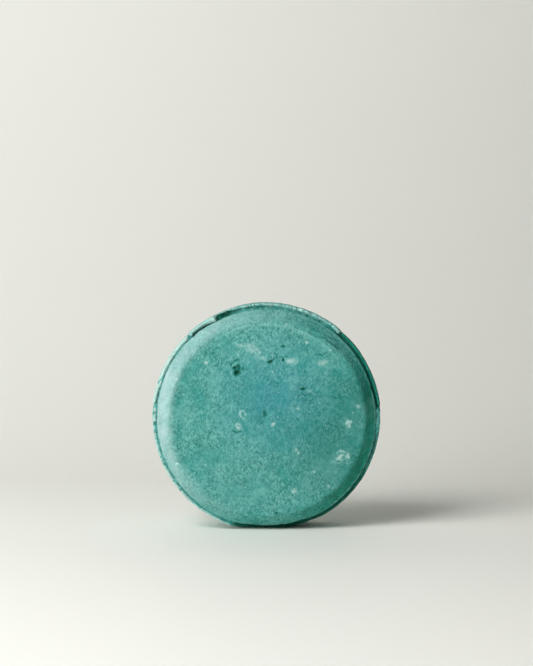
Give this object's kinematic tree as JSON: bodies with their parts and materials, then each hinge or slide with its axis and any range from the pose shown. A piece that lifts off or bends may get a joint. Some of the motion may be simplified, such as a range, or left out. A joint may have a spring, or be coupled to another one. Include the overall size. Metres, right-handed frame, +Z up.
{
  "type": "shaving soap puck",
  "caption": "Round pressed soap puck with bevelled faces, standing on its edge, with torn press flash round the front disc and pale flakes in its face.",
  "frame": {"origin": "middle of the box's bottom, on the flat foot that the puck stands on, halfway between its faces", "axes": "+Z up from the foot through the puck's centre, +Y along the puck's axis from the marked front face to the plain back face, +X to the right seen from the front"},
  "size_m": [0.065, 0.024, 0.0645],
  "materials": {
    "soap": "dry pressed soap, fine grained and mottled",
    "flash_soap": "thin torn soap, a little paler than the body",
    "pale_flake": "undissolved chalky flake",
    "dark_crumb": "dark rough crumb"
  },
  "bodies": {
    "root": {"soap_body": "soap", "flash_top": "flash_soap", "flash_right": "flash_soap", "flash_right_bridge": "flash_soap", "flash_lower_right": "flash_soap", "flash_lower_left": "flash_soap", "flash_left_bridge": "flash_soap", "flash_left": "flash_soap", "flash_upper_left_flap": "flash_soap", "flake_top": "pale_flake", "flake_upper_middle": "pale_flake", "flake_upper_right": "pale_flake", "flake_upper_left": "pale_flake", "flake_centre": "pale_flake", "flake_low_centre": "pale_flake", "flake_centre_left": "pale_flake", "flake_right": "pale_flake", "flake_lower_middle": "pale_flake", "flake_lower_right": "pale_flake", "flake_low_right": "pale_flake", "flake_bottom": "pale_flake", "pit_crumb": "dark_crumb"}
  },
  "joints": []
}
